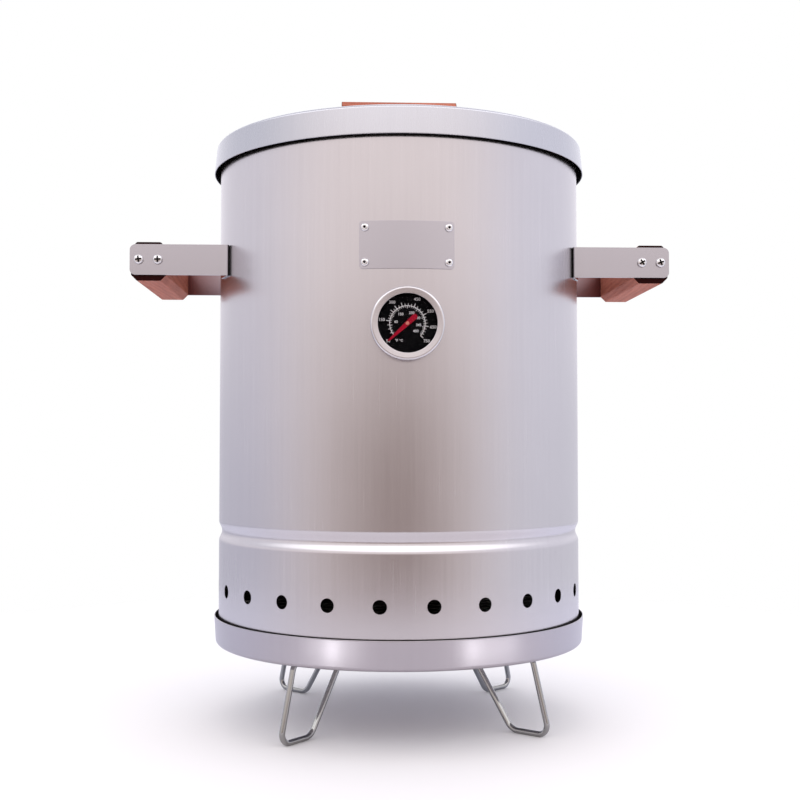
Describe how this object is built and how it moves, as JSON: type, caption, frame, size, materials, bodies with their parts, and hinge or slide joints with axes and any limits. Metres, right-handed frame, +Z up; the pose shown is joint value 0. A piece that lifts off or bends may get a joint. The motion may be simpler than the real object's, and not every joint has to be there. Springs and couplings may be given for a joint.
{
  "type": "vertical water smoker",
  "caption": "Upright stainless barrel smoker with lift-off lid, wood side handles, dial thermometer, wire grates, water pan and a base tray on folding wire legs.",
  "frame": {"origin": "on the barrel's axis at floor level, under the feet", "axes": "+Z up along the barrel's axis, -Y towards the thermometer, +X towards the right handle seen from the front"},
  "size_m": [0.574, 0.4203, 0.6877],
  "materials": {
    "brushed_sheet": "satin brushed stainless sheet",
    "plated_wire": "bright plated steel wire",
    "polished_steel": "polished steel fasteners",
    "red_wood": "oiled reddish brown hardwood",
    "black_dial": "satin black printed dial",
    "red_pointer": "red enamel",
    "clear_lens": "clear flat glass"
  },
  "bodies": {
    "base": {"base_tray": "brushed_sheet", "leg_clip_front_left": "brushed_sheet", "leg_clip_front_right": "brushed_sheet", "leg_clip_rear_left": "brushed_sheet", "leg_clip_rear_right": "brushed_sheet"},
    "leg_front_left": {"leg_front_left": "plated_wire"},
    "leg_front_right": {"leg_front_right": "plated_wire"},
    "leg_rear_right": {"leg_rear_right": "plated_wire"},
    "leg_rear_left": {"leg_rear_left": "plated_wire"},
    "charcoal_grate": {"charcoal_grate": "plated_wire"},
    "barrel": {"barrel_shell": "brushed_sheet", "grate_strap_left": "brushed_sheet", "grate_strap_rear": "brushed_sheet", "grate_strap_right": "brushed_sheet", "left_front_handle_strap": "brushed_sheet", "left_front_inner_grip_screw": "polished_steel", "left_front_lower_strap_rivet": "polished_steel", "left_front_outer_grip_screw": "polished_steel", "left_front_upper_strap_rivet": "polished_steel", "left_grip": "red_wood", "left_rear_handle_strap": "brushed_sheet", "left_rear_inner_grip_screw": "polished_steel", "left_rear_lower_strap_rivet": "polished_steel", "left_rear_outer_grip_screw": "polished_steel", "left_rear_upper_strap_rivet": "polished_steel", "nameplate": "brushed_sheet", "nameplate_rivet_lower_left": "polished_steel", "nameplate_rivet_lower_right": "polished_steel", "nameplate_rivet_upper_left": "polished_steel", "nameplate_rivet_upper_right": "polished_steel", "right_front_handle_strap": "brushed_sheet", "right_front_inner_grip_screw": "polished_steel", "right_front_lower_strap_rivet": "polished_steel", "right_front_outer_grip_screw": "polished_steel", "right_front_upper_strap_rivet": "polished_steel", "right_grip": "red_wood", "right_rear_handle_strap": "brushed_sheet", "right_rear_inner_grip_screw": "polished_steel", "right_rear_lower_strap_rivet": "polished_steel", "right_rear_outer_grip_screw": "polished_steel", "right_rear_upper_strap_rivet": "polished_steel", "thermometer_bezel": "brushed_sheet", "thermometer_case": "brushed_sheet", "thermometer_dial": "black_dial", "thermometer_lens": "clear_lens", "thermometer_nut": "polished_steel", "thermometer_stem": "polished_steel"},
    "pointer": {"thermometer_pointer": "red_pointer"},
    "water_pan_rack": {"water_pan_rack": "plated_wire"},
    "water_pan": {"water_pan": "brushed_sheet"},
    "lower_grate": {"lower_grate": "plated_wire"},
    "upper_grate": {"upper_grate": "plated_wire"},
    "vent_damper": {"vent_damper": "brushed_sheet"},
    "lid": {"lid_grip": "red_wood", "lid_post_left": "polished_steel", "lid_post_right": "polished_steel", "lid_screw_left": "polished_steel", "lid_screw_right": "polished_steel", "lid_shell": "brushed_sheet", "vent_rivet": "polished_steel"}
  },
  "joints": [
    {"name": "barrel_lift", "type": "slide", "parent": "base", "child": "barrel", "axis": [0, 0, 1], "range_m": [0, 0.15]},
    {"name": "lid_lift", "type": "slide", "parent": "barrel", "child": "lid", "axis": [0, 0, 1], "range_m": [0, 0.2]},
    {"name": "upper_grate_lift", "type": "slide", "parent": "barrel", "child": "upper_grate", "axis": [0, 0, 1], "range_m": [0, 0.12]},
    {"name": "lower_grate_lift", "type": "slide", "parent": "barrel", "child": "lower_grate", "axis": [0, 0, 1], "range_m": [0, 0.06]},
    {"name": "water_pan_rack_lift", "type": "slide", "parent": "barrel", "child": "water_pan_rack", "axis": [0, 0, 1], "range_m": [0, 0.035]},
    {"name": "water_pan_lift", "type": "slide", "parent": "water_pan_rack", "child": "water_pan", "axis": [0, 0, 1], "range_m": [0, 0.045]},
    {"name": "charcoal_grate_lift", "type": "slide", "parent": "base", "child": "charcoal_grate", "axis": [0, 0, 1], "range_m": [0, 0.03]},
    {"name": "pointer_turn", "type": "hinge", "parent": "barrel", "child": "pointer", "pos_m": [0, -0.2072, 0.41602], "axis": [0, 1, 0], "range_deg": [0, 265], "stiffness_Nm_per_rad": 0.001},
    {"name": "vent_damper_turn", "type": "hinge", "parent": "lid", "child": "vent_damper", "pos_m": [0, 0.12, 0.63], "axis": [0, 0, 1], "range_deg": [0, 45]},
    {"name": "leg_fold_front_left", "type": "hinge", "parent": "base", "child": "leg_front_left", "pos_m": [-0.08742, -0.10418, 0.0807], "axis": [0.6428, 0.766, 0], "range_deg": [0, 90]},
    {"name": "leg_fold_front_right", "type": "hinge", "parent": "base", "child": "leg_front_right", "pos_m": [0.10569, -0.08559, 0.0807], "axis": [0.7771, -0.6293, 0], "range_deg": [0, 90]},
    {"name": "leg_fold_rear_right", "type": "hinge", "parent": "base", "child": "leg_rear_right", "pos_m": [0.10107, 0.091, 0.0807], "axis": [-0.7431, -0.6691, 0], "range_deg": [0, 90]},
    {"name": "leg_fold_rear_left", "type": "hinge", "parent": "base", "child": "leg_rear_left", "pos_m": [-0.09946, 0.09275, 0.0807], "axis": [-0.7314, 0.682, 0], "range_deg": [0, 90]}
  ]
}
